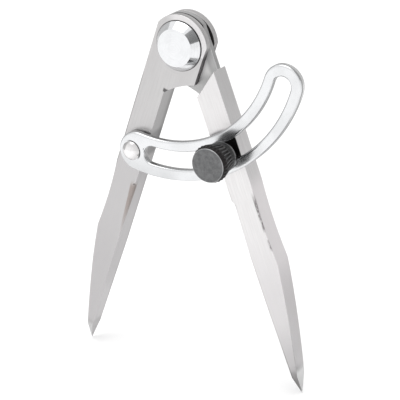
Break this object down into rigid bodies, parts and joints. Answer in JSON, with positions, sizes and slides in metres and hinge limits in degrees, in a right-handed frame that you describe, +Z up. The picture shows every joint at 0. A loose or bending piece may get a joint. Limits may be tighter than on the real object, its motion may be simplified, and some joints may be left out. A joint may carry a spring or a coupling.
{
  "type": "wing divider",
  "caption": "Steel wing divider: two pointed legs on a box-jointed pivot, a slotted wing riveted to one leg, and a thumb screw that clamps it.",
  "frame": {"origin": "centre of the pivot nut's flat rear face, on the pivot axis", "axes": "+Z up along the line that halves the angle between the legs, towards the head; +Y along the pivot axis towards the back; the front, with the wing and the thumb screw, faces -Y; +X towards the leg that carries the thumb screw"},
  "size_m": [0.0983, 0.0254, 0.1414],
  "materials": {
    "leg_steel": "ground and brushed bare steel, brushed along the leg",
    "polished_steel": "polished bright plating",
    "wing_plating": "satin bright zinc plating with rolled edges",
    "black_metal": "black oxide, satin, worn bright on the rim",
    "screw_steel": "dark turned steel",
    "bronze": "thin rolled bronze"
  },
  "bodies": {
    "fixed_leg": {"left_leg": "leg_steel", "wing_plate": "wing_plating", "wing_spacer": "wing_plating", "wing_rivet": "polished_steel", "pivot_bolt": "polished_steel", "pivot_nut": "polished_steel", "front_shim": "bronze", "rear_shim": "bronze"},
    "moving_leg": {"right_leg": "leg_steel"},
    "clamp": {"clamp_washer": "screw_steel"},
    "thumb_screw": {"thumb_knob": "black_metal", "thumb_stud": "screw_steel"}
  },
  "joints": [
    {"name": "leg_hinge", "type": "hinge", "parent": "fixed_leg", "child": "moving_leg", "pos_m": [0, -0.00675, 0], "axis": [0, -1, 0], "range_deg": [-40, 51]},
    {"name": "clamp_slide", "type": "slide", "parent": "moving_leg", "child": "clamp", "axis": [0, -1, 0], "range_m": [0, 0.0008]},
    {"name": "knob_turn", "type": "hinge", "parent": "clamp", "child": "thumb_screw", "pos_m": [0.0193, -0.015, -0.03724], "axis": [0, -1, 0], "range_deg": [0, 540]}
  ],
  "couplings": [
    {"joint": "clamp_slide", "follows": "knob_turn", "m_per_rad": 0.000079577}
  ]
}
